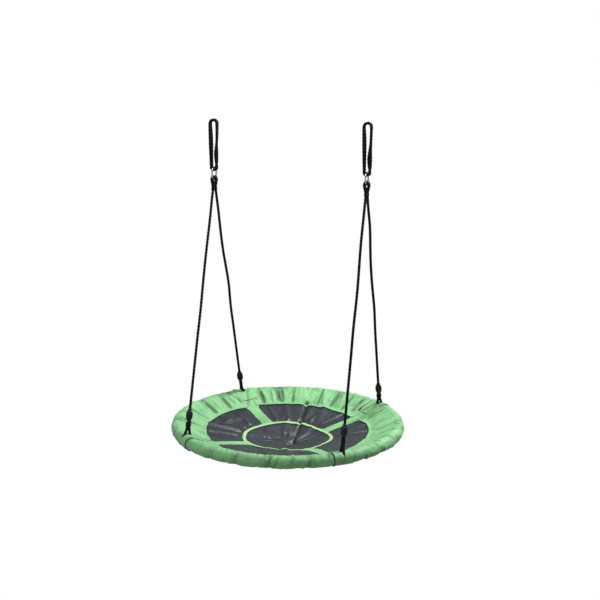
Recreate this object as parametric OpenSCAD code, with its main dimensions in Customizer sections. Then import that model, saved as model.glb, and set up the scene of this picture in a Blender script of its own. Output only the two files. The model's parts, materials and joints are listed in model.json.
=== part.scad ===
// Round saucer swing: a padded steel rim with a sewn fabric deck, hung by four ropes.
// Origin: midway between the two hanging eyes. X runs along the beam from the left eye to the
// right eye, Y runs fore and aft (the swinging direction, front at -Y), and Z is up.

/* [Seat] */
// Outside diameter of the seat over its closure flaps
seat_d = 1000; // [900:10:1100]
// How far the centre of the deck hangs below the middle of the rim
deck_sag = 95; // [80:1:110]
// Outer diameter of the dark deck panels
panel_d = 724; // [680:2:760]
// Diameter of the dark centre panel
centre_d = 374; // [340:2:420]
// Width of the four spokes of the deck
spoke_w = 50; // [40:1:60]
// Width of the binding round the centre panel
binding_w = 16; // [10:1:20]
// Thickness of the deck cloth
cloth_t = 1.5; // [1:0.1:2]

/* [Rim] */
// Outside diameter of the steel frame tube
tube_d = 25; // [24:0.5:26]
// Wall thickness of the frame tube
tube_wall = 1.5; // [1.2:0.1:1.6]
// Outside diameter of the foam sleeves
foam_d = 50; // [48:1:52]
// Thickness of the rim covers
cover_t = 1.3; // [1:0.1:1.5]
// Thickness of the closure flaps
flap_t = 1.5; // [1:0.1:2]
// Width of a closure flap, along the rim
flap_w = 86; // [70:1:100]
// Gap between two rim covers, where a rope passes
cover_gap = 42; // [36:1:44]
// Gap between two foam sleeves, where a rope passes
foam_gap = 30; // [26:1:32]

/* [Ropes] */
// Diameter of every rope
rope_d = 10; // [9:0.5:10]
// Angle of the rope positions round the rim, from the X axis
rope_angle = 46; // [44:1:48]
// Height from the middle of the rim up to the hanging eyes
hang_h = 1270; // [1000:10:1600]
// Height from the foot of the steel rings up to the hanging eyes
sling_h = 230; // [180:5:300]
// Length of the lower rope loops, from the middle of the rim to their top
loop_h = 75; // [70:1:90]

/* [Hardware] */
// Radius of the steel rings, to the middle of their wire
ring_r = 24.5; // [24:0.5:28]
// Diameter of the ring wire
ring_wire = 7; // [6:0.5:7]
// Clear radius of the hanging eye at the top of a sling
eye_r = 10; // [8:0.5:12]
// Length of a rope adjuster
adjuster_l = 50; // [45:1:55]
// Largest diameter of a rope adjuster
adjuster_d = 28; // [26:1:34]

/* [Hidden] */
$fn = 48;

// Colours
GREEN = [0.50, 0.80, 0.50];
PALE_GREEN = [0.72, 0.88, 0.62];
SLATE = [0.28, 0.31, 0.35];
BLACK = [0.05, 0.05, 0.06];
FOAM = [0.25, 0.25, 0.27];
STEEL = [0.72, 0.73, 0.75];

// Corners of the seat, as the angle of each rope round the rim
BACK_RIGHT = rope_angle;
BACK_LEFT = 180 - rope_angle;
FRONT_LEFT = 180 + rope_angle;
FRONT_RIGHT = 360 - rope_angle;
// Sides of the seat, as the rope angles at which each side starts and ends
RIGHT = [-rope_angle, rope_angle];
BACK = [rope_angle, 180 - rope_angle];
LEFT = [180 - rope_angle, 180 + rope_angle];
FRONT = [180 + rope_angle, 360 - rope_angle];

// Rim section, measured from the middle of the tube
slack = 0.1;                                   // gap between layers that are not sewn together
foam_r = foam_d / 2;
cover_r = foam_r + slack + cover_t;
flap_r = cover_r + slack + flap_t;
rim_r = seat_d / 2 - flap_r;                   // radius of the rim, to the middle of its tube
rim_z = -hang_h;

// Deck section: radii, and heights above the middle of the rim
centre_r = centre_d / 2;
panel_r = panel_d / 2;
centre_slope = 0.193;                          // rise of the centre panel per unit of radius
deck_slope = 0.187;                            // rise of the outer panels per unit of radius
centre_z = -deck_sag + centre_slope * centre_r;
panel_z = centre_z + deck_slope * (panel_r - centre_r);
// The band of a rim cover runs from the panels up to the rim and touches it as a tangent
band_dx = rim_r - panel_r;
band_angle = atan2(-panel_z, band_dx) + asin(cover_r / norm([band_dx, panel_z]));
band_normal = [-sin(band_angle), cos(band_angle)];

// Ropes
rope_r = rope_d / 2;
wire_r = ring_wire / 2;
rope_bore = 6.2;                               // clear radius of a rope turn round the ring wire
turn_r = rope_bore + rope_r;                   // radius of that turn, to the middle of the rope
strand_y = rope_r + 0.2;                       // two ropes lie side by side on each ring
ring_foot_z = -sling_h;
ring_z = ring_foot_z + ring_r;
ring_top_z = ring_z + ring_r;
hang_x = rim_r * cos(rope_angle);
// Rope direction at each corner, from the rim up to the ring
function side_x(a) = hang_x * sign(cos(a));
function rim_point(a) = [side_x(a), rim_r * sin(a), rim_z];
function rope_top(a) = [side_x(a), strand_y * sign(sin(a)), ring_foot_z - turn_r];
function unit(v) = v / norm(v);
function pull(a) = unit(rope_top(a) - rim_point(a));
function radial(a) = [cos(a), sin(a), 0];
// Top of a rim loop, which is where the rope above it bends
function loop_top(a) = rim_point(a) + loop_h * pull(a);
tube_hug = tube_d / 2 + rope_r + 0.8;          // radius of a rim loop round the frame tube

// Frame tube
tube_r = tube_d / 2;
bore_r = tube_r - tube_wall;
tip_r = bore_r - 0.05;                         // swaged tip that slides into the next tube
tip_angle = 5;
screw_angle = 2.5;
screw_r = 2;
screw_head_r = 4.5;
screw_head_h = 2.4;

// A round bar from one point to another
module rod(from, to, r) {
    v = to - from;
    translate(from)
        rotate([0, acos(v.z / norm(v)), atan2(v.y, v.x)])
            cylinder(h = norm(v), r = r);
}

// Sweep a section round the Z axis from one angle to another
module sweep(from, to) {
    rotate([0, 0, from]) rotate_extrude(angle = to - from) children();
}

module annulus(outer, inner) {
    difference() {
        circle(outer);
        circle(inner);
    }
}

// Points on an arc in the plane of two unit vectors
function arc_points(centre, e1, e2, r, from, to, steps) =
    [for (i = [0:steps]) let (a = from + (to - from) * i / steps) centre + r * (cos(a) * e1 + sin(a) * e2)];

// An endless round rope swept along a closed line of points, which lies nearly square to side
module endless_rope(path, side) {
    facets = 12;
    n = len(path);
    points = [for (i = [0:n - 1], k = [0:facets - 1])
        let (t = unit(path[(i + 1) % n] - path[(i + n - 1) % n]), out = unit(cross(t, side)),
             up = cross(out, t), a = 360 * k / facets)
        path[i] + rope_r * (cos(a) * out + sin(a) * up)];
    function at(i, k) = (i % n) * facets + k % facets;
    quads = [for (i = [0:n - 1], k = [0:facets - 1])
        [at(i, k), at(i + 1, k), at(i + 1, k + 1), at(i, k + 1)]];
    triangles = [for (q = quads, half = [[0, 1, 2], [0, 2, 3]]) [for (c = half) q[c]]];
    polyhedron(points, triangles);
}

// A sling loop: an arc over the hanging eye and an arc under the top of the ring
sling_lean = asin((eye_r + rope_r - turn_r) / -ring_top_z);
SLING_PATH = concat(
    arc_points([0, 0, 0], [1, 0, 0], [0, 0, 1], eye_r + rope_r, -sling_lean, 180 + sling_lean, 12),
    arc_points([0, 0, ring_top_z], [1, 0, 0], [0, 0, 1], turn_r, 180 + sling_lean, 360 - sling_lean, 12));

module sling(side) {
    color(BLACK)
        for (s = [-1, 1])
            translate([side * hang_x, s * strand_y, 0]) endless_rope(SLING_PATH, [0, 1, 0]);
}

module ring(side) {
    color(STEEL)
        translate([side * hang_x, 0, ring_z])
            rotate([0, 90, 0])
                rotate_extrude() translate([ring_r, 0]) circle(wire_r);
}

// A hanging rope: a turn round the ring wire, a short seizing and the long straight leg
module rope(a) {
    top = rope_top(a);
    u = pull(a);
    color(BLACK) {
        translate([top.x, top.y, ring_foot_z])
            rotate([90, 0, 0]) rotate_extrude() translate([turn_r, 0]) circle(rope_r);
        rod(top, loop_top(a) + (rope_r + 0.5) * u, rope_r);
        rod(top - 16 * u, top - 34 * u, rope_r + 1.2);
    }
}

// An egg-shaped adjuster that slides on its rope
module adjuster(a) {
    u = pull(a);
    l = adjuster_l;
    r = adjuster_d / 2;
    bore = rope_r + 0.06;
    color(BLACK)
        translate(loop_top(a) + (rope_r + 1.5) * u)
            rotate([0, acos(u.z), atan2(u.y, u.x)])
                rotate_extrude()
                    polygon([[bore, 0], [0.55 * r, 0], [0.85 * r, 0.14 * l], [r, 0.36 * l],
                             [0.96 * r, 0.55 * l], [0.75 * r, 0.78 * l], [0.5 * r, l], [bore, l]]);
}

// A rope loop round the frame tube: half a turn under the tube and two strands that meet on top
module rim_loop(a) {
    turn_top = rope_r + 1;
    out = radial(a);
    color(BLACK)
        endless_rope(concat(
            arc_points(rim_point(a), out, [0, 0, 1], tube_hug, 180, 360, 12),
            arc_points(loop_top(a) - turn_top * pull(a), out, pull(a), turn_top, 0, 180, 8)),
            [-sin(a), cos(a), 0]);
}

module screw_place(a) {
    rotate([0, 0, a + screw_angle]) translate([rim_r, 0, rim_z - tube_r]) children();
}

// A quarter of the frame: an open end, a screw hole at both ends and a swaged tip
module frame_tube(a) {
    color(STEEL)
        difference() {
            translate([0, 0, rim_z]) {
                sweep(a, a + 90) translate([rim_r, 0]) annulus(tube_r, bore_r);
                sweep(a + 88, a + 90) translate([rim_r, 0]) annulus(bore_r + 0.4, tip_r - 0.4);
                sweep(a + 88.5, a + 90 + tip_angle) translate([rim_r, 0]) annulus(tip_r, tip_r - tube_wall);
            }
            for (end = [0, 90])
                screw_place(a + end) translate([0, 0, -1]) cylinder(h = 8, r = screw_r + 0.1);
        }
}

module frame_screws() {
    color(STEEL)
        for (a = [0, 90, 180, 270])
            screw_place(a) {
                translate([0, 0, -screw_head_h]) cylinder(h = screw_head_h, r = screw_head_r);
                cylinder(h = 6, r = screw_r);
            }
}

// Gap of a given width at a rope, straight across the rim and the deck band
module rope_gap(a, w) {
    rotate([0, 0, a])
        translate([panel_r - 30, -w / 2, rim_z - 100]) cube([200, w, 200]);
}

module foam_sleeve(side) {
    color(FOAM)
        difference() {
            translate([0, 0, rim_z])
                sweep(side[0], side[1]) translate([rim_r, 0]) annulus(foam_r, tube_r + slack);
            for (a = side) rope_gap(a, foam_gap);
            screw_place((side[0] + side[1]) / 2)
                translate([0, 0, -screw_head_h - 1]) cylinder(h = 6, r = screw_head_r + 1);
        }
}

// Section of a cloth wrapped round the rim and running in along the deck band: it starts at
// inner_r, touches the rim at the top, and goes round its outside to the angle wrap_end
module wrap_section(low, high, inner_r, wrap_end) {
    steps = 48;
    start = band_angle + 90;
    along = [cos(band_angle), sin(band_angle)];
    function arc(r, from, to) =
        [for (i = [0:steps]) let (a = from + (to - from) * i / steps) [rim_r + r * cos(a), r * sin(a)]];
    function band_end(r) = let (p = [rim_r, 0] + r * band_normal) p - (p.x - inner_r) / along.x * along;
    polygon(concat(arc(high, start, wrap_end), arc(low, wrap_end, start), [band_end(low), band_end(high)]));
}

// Section of a strip of cloth along the deck band only
module band_section(low, high, inner_r, outer_r) {
    slope = tan(band_angle);
    function on_band(r, x) = let (p = [rim_r, 0] + r * band_normal) [x, p.y - (p.x - x) * slope];
    polygon([on_band(low, inner_r), on_band(low, outer_r), on_band(high, outer_r), on_band(high, inner_r)]);
}

// A cover round the foam on one side, with the band that runs in to the deck panels. Its free
// edge comes back under the band.
module rim_cover(side) {
    color(GREEN)
        difference() {
            translate([0, 0, rim_z])
                sweep(side[0], side[1]) wrap_section(cover_r - cover_t, cover_r, panel_r + 0.6, -225);
            for (a = side) rope_gap(a, cover_gap);
        }
}

// Hook-and-loop strip that closes a cover under its band
module cover_closure(side) {
    top = cover_r - cover_t - slack;
    color(BLACK)
        difference() {
            translate([0, 0, rim_z])
                sweep(side[0] + 4, side[1] - 4)
                    band_section(top - 1.5, top, rim_r - cover_r - 24, rim_r - cover_r - 2);
            for (a = side) rope_gap(a, cover_gap + 10);
        }
}

// A flap over the gap at a rope: round the rim, with a tongue on the deck band
module rope_flap(a) {
    half = flap_w / 2 / rim_r * 180 / PI;
    color(GREEN)
        difference() {
            translate([0, 0, rim_z])
                sweep(a - half, a + half) wrap_section(cover_r + slack, flap_r, rim_r - 72, -160);
            for (s = [-1, 1])
                rod(rim_point(a) + s * tube_hug * radial(a), loop_top(a), rope_r + 1);
        }
}

// Deck cloth between two radii of the dish
module dish(r1, z1, r2, z2) {
    polygon([[r1, z1 - cloth_t], [r2, z2 - cloth_t], [r2, z2], [r1, z1]]);
}

module spoke_strip(a, r1, r2, w) {
    rotate([0, 0, a]) translate([r1, -w / 2, rim_z - 150]) cube([r2 - r1, w, 250]);
}

// A spoke between two deck panels, with a narrower end in the gap between two rim covers
module deck_spoke(a) {
    end_r = rim_r - 36;
    end_z = panel_z + (end_r - panel_r) * tan(band_angle);
    color(GREEN)
        intersection() {
            translate([0, 0, rim_z])
                sweep(a - 12, a + 12)
                    polygon([[centre_r, centre_z], [panel_r, panel_z], [end_r, end_z],
                             [end_r, end_z - cloth_t], [panel_r, panel_z - cloth_t],
                             [centre_r, centre_z - cloth_t]]);
            union() {
                spoke_strip(a, centre_r - 10, panel_r, spoke_w);
                spoke_strip(a, panel_r - 8, rim_r, cover_gap - 0.4);
            }
        }
}

module deck_panel(side) {
    color(SLATE)
        difference() {
            translate([0, 0, rim_z])
                sweep(side[0], side[1]) dish(centre_r, centre_z, panel_r, panel_z);
            for (a = side) spoke_strip(a, centre_r - 20, panel_r + 10, spoke_w + 0.2);
        }
}

module deck_centre_panel() {
    color(SLATE)
        translate([0, 0, rim_z])
            rotate_extrude() dish(0, -deck_sag, centre_r - 0.1, centre_z);
}

// Binding tape on top of the seam round the centre panel
module centre_binding() {
    w = binding_w / 2;
    tape_t = 1;
    inner_z = centre_z - centre_slope * w;
    outer_z = centre_z + deck_slope * w;
    color(PALE_GREEN)
        translate([0, 0, rim_z + slack])
            rotate_extrude()
                polygon([[centre_r - w, inner_z], [centre_r, centre_z], [centre_r + w, outer_z],
                         [centre_r + w, outer_z + tape_t], [centre_r, centre_z + tape_t],
                         [centre_r - w, inner_z + tape_t]]);
}

sling(-1);  // sling_left
sling(1);  // sling_right
ring(-1);  // ring_left
ring(1);  // ring_right
rope(BACK_RIGHT);  // rope_back_right
rope(BACK_LEFT);  // rope_back_left
rope(FRONT_LEFT);  // rope_front_left
rope(FRONT_RIGHT);  // rope_front_right
adjuster(BACK_RIGHT);  // adjuster_back_right
adjuster(BACK_LEFT);  // adjuster_back_left
adjuster(FRONT_LEFT);  // adjuster_front_left
adjuster(FRONT_RIGHT);  // adjuster_front_right
rim_loop(BACK_RIGHT);  // rim_loop_back_right
rim_loop(BACK_LEFT);  // rim_loop_back_left
rim_loop(FRONT_LEFT);  // rim_loop_front_left
rim_loop(FRONT_RIGHT);  // rim_loop_front_right
frame_tube(0);  // frame_tube_back_right
frame_tube(90);  // frame_tube_back_left
frame_tube(180);  // frame_tube_front_left
frame_tube(270);  // frame_tube_front_right
frame_screws();
foam_sleeve(RIGHT);  // foam_sleeve_right
foam_sleeve(BACK);  // foam_sleeve_back
foam_sleeve(LEFT);  // foam_sleeve_left
foam_sleeve(FRONT);  // foam_sleeve_front
rim_cover(RIGHT);  // rim_cover_right
rim_cover(BACK);  // rim_cover_back
rim_cover(LEFT);  // rim_cover_left
rim_cover(FRONT);  // rim_cover_front
cover_closure(RIGHT);  // cover_closure_right
cover_closure(BACK);  // cover_closure_back
cover_closure(LEFT);  // cover_closure_left
cover_closure(FRONT);  // cover_closure_front
rope_flap(BACK_RIGHT);  // rope_flap_back_right
rope_flap(BACK_LEFT);  // rope_flap_back_left
rope_flap(FRONT_LEFT);  // rope_flap_front_left
rope_flap(FRONT_RIGHT);  // rope_flap_front_right
deck_spoke(BACK_RIGHT);  // deck_spoke_back_right
deck_spoke(BACK_LEFT);  // deck_spoke_back_left
deck_spoke(FRONT_LEFT);  // deck_spoke_front_left
deck_spoke(FRONT_RIGHT);  // deck_spoke_front_right
deck_panel(RIGHT);  // deck_panel_right
deck_panel(BACK);  // deck_panel_back
deck_panel(LEFT);  // deck_panel_left
deck_panel(FRONT);  // deck_panel_front
deck_centre_panel();
centre_binding();
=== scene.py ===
"""Round saucer swing: a padded rim with a sewn cloth deck, hung by four braided ropes.

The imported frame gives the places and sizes. The cloth of the seat is one surface, which a cloth
simulation settles, and every sewn piece is cut from that surface. Lengths are in metres.
"""

import json
import math

import bpy
import numpy as np
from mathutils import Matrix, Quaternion, Vector


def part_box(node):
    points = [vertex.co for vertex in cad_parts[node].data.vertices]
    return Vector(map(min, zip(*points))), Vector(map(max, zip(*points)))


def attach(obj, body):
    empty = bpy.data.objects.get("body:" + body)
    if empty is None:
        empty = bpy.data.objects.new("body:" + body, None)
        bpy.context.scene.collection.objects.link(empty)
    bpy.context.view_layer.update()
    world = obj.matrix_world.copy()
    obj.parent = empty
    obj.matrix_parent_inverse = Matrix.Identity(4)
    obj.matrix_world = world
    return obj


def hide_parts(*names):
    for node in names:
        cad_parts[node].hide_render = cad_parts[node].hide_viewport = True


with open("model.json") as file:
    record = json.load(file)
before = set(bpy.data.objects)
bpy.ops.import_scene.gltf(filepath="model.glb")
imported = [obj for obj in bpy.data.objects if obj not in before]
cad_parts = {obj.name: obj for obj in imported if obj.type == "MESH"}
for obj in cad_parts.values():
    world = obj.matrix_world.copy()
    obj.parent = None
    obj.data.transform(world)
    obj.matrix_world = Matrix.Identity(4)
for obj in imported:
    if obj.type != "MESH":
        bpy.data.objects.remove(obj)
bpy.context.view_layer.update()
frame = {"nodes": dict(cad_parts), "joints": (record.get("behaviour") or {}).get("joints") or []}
joints = {joint["name"]: joint for joint in frame["joints"]}

MM = 0.001
SEED = 11
TAU = 2 * math.pi

# Corners of the seat, as the signs of their X and Y, and the middle angle of each side
CORNERS = {"back_right": (1, 1), "back_left": (-1, 1), "front_left": (-1, -1), "front_right": (1, -1)}
SIDES = {"right": 0, "back": 90, "left": 180, "front": 270}

# Places that the frame gives. The rim section is measured from the middle of the frame tube.
foam_low, foam_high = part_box("foam_sleeve_right")
centre_low, centre_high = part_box("deck_centre_panel")
panel_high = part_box("deck_panel_right")[1]
RING_FOOT = Vector(joints["sway_left"]["pos_m"])
LOOP_TOP = Vector(joints["seat_level"]["pos_m"])
FOAM_R = (foam_high.z - foam_low.z) / 2
RIM_Z = (foam_high.z + foam_low.z) / 2
RIM_R = foam_high.x - FOAM_R
COVER_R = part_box("rim_cover_right")[1].x - RIM_R
HANG_X = -RING_FOOT.x
RIM_Y = math.sqrt(RIM_R**2 - HANG_X**2)
ROPE_ANGLE = math.atan2(RIM_Y, HANG_X)
RING_Z = joints["swing"]["pos_m"][2]
RING_R = RING_Z - RING_FOOT.z
CENTRE_R = centre_high.x
CENTRE_Z = centre_high.z - RIM_Z
DECK_T = 1.5 * MM
SAG_Z = centre_low.z + DECK_T - RIM_Z
PANEL_R = panel_high.x
PANEL_Z = panel_high.z - RIM_Z

# Rope and hardware, as in the CAD source
ROPE_D = 10 * MM
ROPE_R = ROPE_D / 2
STRAND_Y = 5.2 * MM
SLING_TURN_R = 11.2 * MM
TUBE_HUG = 18.3 * MM
WIRE_R = 3.5 * MM
ADJUSTER_RISE = 6.5 * MM
GAP_HALF = 21 * MM
FLAP_HALF = 43 * MM


def corner_angle(corner):
    """Angle of a corner's rope round the rim."""
    sx, sy = CORNERS[corner]
    return math.atan2(sy * RIM_Y, sx * HANG_X)


def rim_point(corner):
    sx, sy = CORNERS[corner]
    return Vector((sx * HANG_X, sy * RIM_Y, RIM_Z))


def pull(corner):
    """Direction of a corner's rope, from the rim up to its ring."""
    return Vector(joints["slide_" + corner]["axis"]).normalized()


def loop_top(corner):
    start = rim_point(corner)
    along = pull(corner)
    return start + along * ((LOOP_TOP.z - start.z) / along.z)


def rope_body(corner):
    return "right_ropes" if CORNERS[corner][0] > 0 else "left_ropes"


# ---------------------------------------------------------------- camera

CAMERA_AZIMUTH = math.radians(16.6)
CAMERA_ELEVATION = math.radians(12.0)
CAMERA_ROLL = math.radians(0.4)
CAMERA_DISTANCE = 4.62
CAMERA_LENS = 66
AIM_ACROSS = 0.049
AIM_Z = -0.726


def make_camera():
    az, el = CAMERA_AZIMUTH, CAMERA_ELEVATION
    back = Vector((math.sin(az) * math.cos(el), -math.cos(az) * math.cos(el), math.sin(el)))
    aim = Vector((AIM_ACROSS * math.cos(az), AIM_ACROSS * math.sin(az), AIM_Z))
    camera = bpy.data.objects.new("camera", bpy.data.cameras.new("camera"))
    camera.data.lens = CAMERA_LENS
    camera.data.sensor_width = 36
    camera.location = aim + back * CAMERA_DISTANCE
    level = (-back).to_track_quat("-Z", "Y")
    camera.rotation_euler = (level @ Quaternion((0, 0, 1), CAMERA_ROLL)).to_euler()
    bpy.context.scene.collection.objects.link(camera)
    bpy.context.scene.camera = camera


# ---------------------------------------------------------------- node materials


class Shader:
    """A principled material, built node by node."""

    def __init__(self, name, base, roughness, metallic=0.0, specular=0.5, sheen=0.0):
        self.material = bpy.data.materials.new(name)
        self.material.use_nodes = True
        self.nodes = self.material.node_tree.nodes
        self.links = self.material.node_tree.links
        self.bsdf = self.nodes["Principled BSDF"]
        self.bsdf.inputs["Base Color"].default_value = (*base, 1)
        self.bsdf.inputs["Roughness"].default_value = roughness
        self.bsdf.inputs["Metallic"].default_value = metallic
        self.bsdf.inputs["Specular IOR Level"].default_value = specular
        self.bsdf.inputs["Sheen Weight"].default_value = sheen
        self.bsdf.inputs["Sheen Roughness"].default_value = 0.4
        self.material.diffuse_color = (*base, 1)

    def node(self, kind, **settings):
        made = self.nodes.new("ShaderNode" + kind)
        for key, value in settings.items():
            if hasattr(made, key):
                setattr(made, key, value)
            else:
                made.inputs[key.replace("_", " ")].default_value = value
        return made

    def link(self, source, target):
        self.links.new(source, target)

    def math(self, operation, first, second=0.0):
        made = self.node("Math", operation=operation)
        for socket, value in zip(made.inputs, (first, second)):
            if isinstance(value, (int, float)):
                socket.default_value = value
            else:
                self.link(value, socket)
        return made.outputs[0]

    def object_place(self):
        return self.node("TexCoord").outputs["Object"]

    def cloth_place(self):
        """Metres along and across the threads."""
        return self.node("UVMap", uv_map="UVMap").outputs[0]

    def noise(self, place, scale, detail=3.0, roughness=0.5):
        made = self.node("TexNoise", Scale=scale, Detail=detail, Roughness=roughness)
        self.link(place, made.inputs["Vector"])
        return made.outputs["Fac"]

    def ramp(self, factor, low, high, start=0.0, end=1.0):
        made = self.node("ValToRGB")
        made.color_ramp.elements[0].position = start
        made.color_ramp.elements[0].color = (*low, 1)
        made.color_ramp.elements[1].position = end
        made.color_ramp.elements[1].color = (*high, 1)
        self.link(factor, made.inputs[0])
        return made.outputs[0]

    def scaled(self, factor, low, high):
        made = self.node("MapRange", To_Min=low, To_Max=high)
        self.link(factor, made.inputs[0])
        return made.outputs[0]

    def mix(self, factor, first, second, blend="MIX"):
        made = self.node("Mix", data_type="RGBA", blend_type=blend)
        colours = [socket for socket in made.inputs if socket.type == "RGBA"]
        for socket, value in zip([made.inputs[0], *colours], (factor, first, second)):
            if isinstance(value, (int, float)):
                socket.default_value = value
            elif isinstance(value, tuple):
                socket.default_value = (*value, 1)
            else:
                self.link(value, socket)
        return [socket for socket in made.outputs if socket.type == "RGBA"][0]

    def bump(self, height, distance, strength=1.0, under=None):
        made = self.node("Bump", Distance=distance, Strength=strength)
        self.link(height, made.inputs["Height"])
        if under is not None:
            self.link(under, made.inputs["Normal"])
        return made.outputs[0]

    def colour(self, socket):
        self.link(socket, self.bsdf.inputs["Base Color"])

    def rough(self, socket):
        self.link(socket, self.bsdf.inputs["Roughness"])

    def normal(self, socket):
        self.link(socket, self.bsdf.inputs["Normal"])

    def weave(self, thread):
        """Height of a plain weave with threads of that width, along both cloth directions."""
        split = self.node("SeparateXYZ")
        self.link(self.cloth_place(), split.inputs[0])
        waves = []
        for axis in (0, 1):
            turn = self.math("MULTIPLY", split.outputs[axis], math.pi / thread)
            waves.append(self.math("SINE", turn))
        over = self.math("MULTIPLY", waves[0], waves[1])
        return self.math("ABSOLUTE", over)


def shade(colour, factor):
    return tuple(component * factor for component in colour)


def cloth_material(name, colour, roughness, thread, sheen, mottling, fold_painted_shade, specular=0.5):
    """Coated woven cloth: weave, mottled dye, crinkles, and painted shade that darkens the folds."""
    made = Shader(name, colour, roughness, specular=specular, sheen=sheen)
    place = made.object_place()
    broad = made.noise(place, 9, 4, 0.6)
    fine = made.noise(place, 160, 4, 0.65)
    creased = made.mix(0.45, broad, made.noise(place, 70, 3, 0.7))
    dye = made.ramp(creased, shade(colour, 1 - mottling), shade(colour, 1 + mottling), 0.38, 0.62)
    worn = made.mix(made.scaled(fine, 0.0, 0.35), dye, shade(colour, 1.25))
    weave = made.weave(thread)
    threads = made.mix(made.scaled(weave, 0.22, 0.0), worn, shade(colour, 0.55))
    # Painted shade: the colour is pulled toward a darker copy of the cloth colour by how deep each point lies
    # in a fold (the fold attribute).
    fold = made.node("Attribute", attribute_name="fold").outputs["Fac"]
    made.colour(made.mix(fold, threads, shade(colour, fold_painted_shade)))
    made.rough(made.scaled(made.noise(place, 30, 3, 0.6), roughness - 0.07, roughness + 0.1))
    crinkle = made.bump(made.noise(place, 55, 5, 0.6), 1.6 * MM, 0.5)
    made.normal(made.bump(weave, 0.25 * MM, 0.6, crinkle))
    return made.material


def tape_material(name, colour, rib, roughness=0.6):
    """Ribbed tape, with ribs across its length."""
    made = Shader(name, colour, roughness, sheen=0.25)
    split = made.node("SeparateXYZ")
    made.link(made.cloth_place(), split.inputs[0])
    ribs = made.math("ABSOLUTE", made.math("SINE", made.math("MULTIPLY", split.outputs[0], math.pi / rib)))
    mottle = made.noise(made.object_place(), 40, 4, 0.6)
    dye = made.ramp(mottle, shade(colour, 0.86), shade(colour, 1.1), 0.3, 0.7)
    made.colour(made.mix(made.scaled(ribs, 0.35, 0.0), dye, shade(colour, 0.5)))
    made.normal(made.bump(ribs, 0.4 * MM, 0.7))
    return made.material


def rope_material():
    black = (0.0035, 0.0035, 0.0042)
    made = Shader("rope_black", black, 0.75, specular=0.2)
    place = made.object_place()
    split = made.node("SeparateXYZ")
    made.link(made.cloth_place(), split.inputs[0])
    lay = made.node("CombineXYZ")
    made.link(made.math("ADD", made.math("MULTIPLY", split.outputs[0], 0.6), split.outputs[1]), lay.inputs[0])
    made.link(split.outputs[0], lay.inputs[1])
    fibre = made.node("TexNoise", Scale=900.0, Detail=3.0)
    made.link(lay.outputs[0], fibre.inputs["Vector"])
    grey = made.ramp(fibre.outputs["Fac"], shade(black, 0.55), shade(black, 2.3), 0.35, 0.75)
    dust = made.scaled(made.noise(place, 45, 4, 0.7), 0.0, 0.12)
    made.colour(made.mix(dust, grey, (0.02, 0.02, 0.022)))
    made.rough(made.scaled(made.noise(place, 300), 0.6, 0.85))
    made.normal(made.bump(fibre.outputs["Fac"], 0.5 * MM, 0.8))
    return made.material


def plastic_material():
    black = (0.005, 0.005, 0.006)
    made = Shader("moulded_black_plastic", black, 0.42, specular=0.35)
    place = made.object_place()
    grain = made.noise(place, 1400, 2)
    made.colour(made.ramp(made.noise(place, 60, 4, 0.65), shade(black, 0.8), shade(black, 1.9), 0.4, 0.8))
    made.rough(made.scaled(made.noise(place, 120, 4, 0.7), 0.33, 0.55))
    made.normal(made.bump(grain, 0.12 * MM, 0.6))
    return made.material


def metal_material(name, colour, roughness, spread, scratch_scale, spangle=0.0):
    made = Shader(name, colour, roughness, metallic=1.0)
    place = made.object_place()
    worn = made.noise(place, 70, 5, 0.65)
    tone = made.ramp(worn, shade(colour, 0.78), shade(colour, 1.05), 0.3, 0.7)
    if spangle:
        cells = made.node("TexVoronoi", Scale=spangle)
        made.link(place, cells.inputs["Vector"])
        tone = made.mix(0.35, tone, made.ramp(cells.outputs["Distance"], shade(colour, 0.6), colour))
    made.colour(tone)
    made.rough(made.scaled(worn, roughness - spread, roughness + spread))
    made.normal(made.bump(made.noise(place, scratch_scale, 4, 0.7), 0.05 * MM, 0.5))
    return made.material


def foam_material():
    grey = (0.035, 0.035, 0.038)
    made = Shader("closed_cell_foam", grey, 0.85, specular=0.3)
    cells = made.node("TexVoronoi", Scale=700.0)
    made.link(made.object_place(), cells.inputs["Vector"])
    made.colour(made.ramp(cells.outputs["Distance"], shade(grey, 1.5), shade(grey, 0.6), 0.1, 0.7))
    made.normal(made.bump(cells.outputs["Distance"], 0.5 * MM, 0.8))
    return made.material


def hook_material():
    black = (0.012, 0.012, 0.013)
    made = Shader("hook_and_loop", black, 0.9, specular=0.25, sheen=0.3)
    fuzz = made.noise(made.object_place(), 1100, 5, 0.75)
    made.colour(made.ramp(fuzz, shade(black, 0.5), shade(black, 3.0), 0.35, 0.75))
    made.normal(made.bump(fuzz, 0.9 * MM, 1.0))
    return made.material


GREEN = (0.215, 0.51, 0.225)
PALE_GREEN = (0.42, 0.70, 0.30)
SLATE = (0.019, 0.024, 0.034)

materials = {
    "green": cloth_material("green_coated_cloth", GREEN, 0.55, 0.9 * MM, 0.1, 0.17, 0.36, 0.35),
    "slate": cloth_material("slate_coated_cloth", SLATE, 0.35, 0.8 * MM, 0.0, 0.18, 0.25, 0.58),
    "tape": tape_material("pale_green_tape", PALE_GREEN, 1.2 * MM),
    "hem": tape_material("green_hem", shade(GREEN, 1.12), 1.0 * MM),
    "thread": tape_material("sewing_thread", (0.35, 0.66, 0.33), 0.5 * MM, 0.5),
    "rope": rope_material(),
    "plastic": plastic_material(),
    "chrome": metal_material("bright_plated_wire", (0.72, 0.73, 0.75), 0.16, 0.06, 900),
    "zinc": metal_material("zinc_plate", (0.60, 0.61, 0.64), 0.36, 0.1, 500),
    "galvanised": metal_material("galvanised_tube", (0.52, 0.54, 0.56), 0.42, 0.1, 300, spangle=110.0),
    "foam": foam_material(),
    "hook": hook_material(),
}


# ---------------------------------------------------------------- meshes


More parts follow.
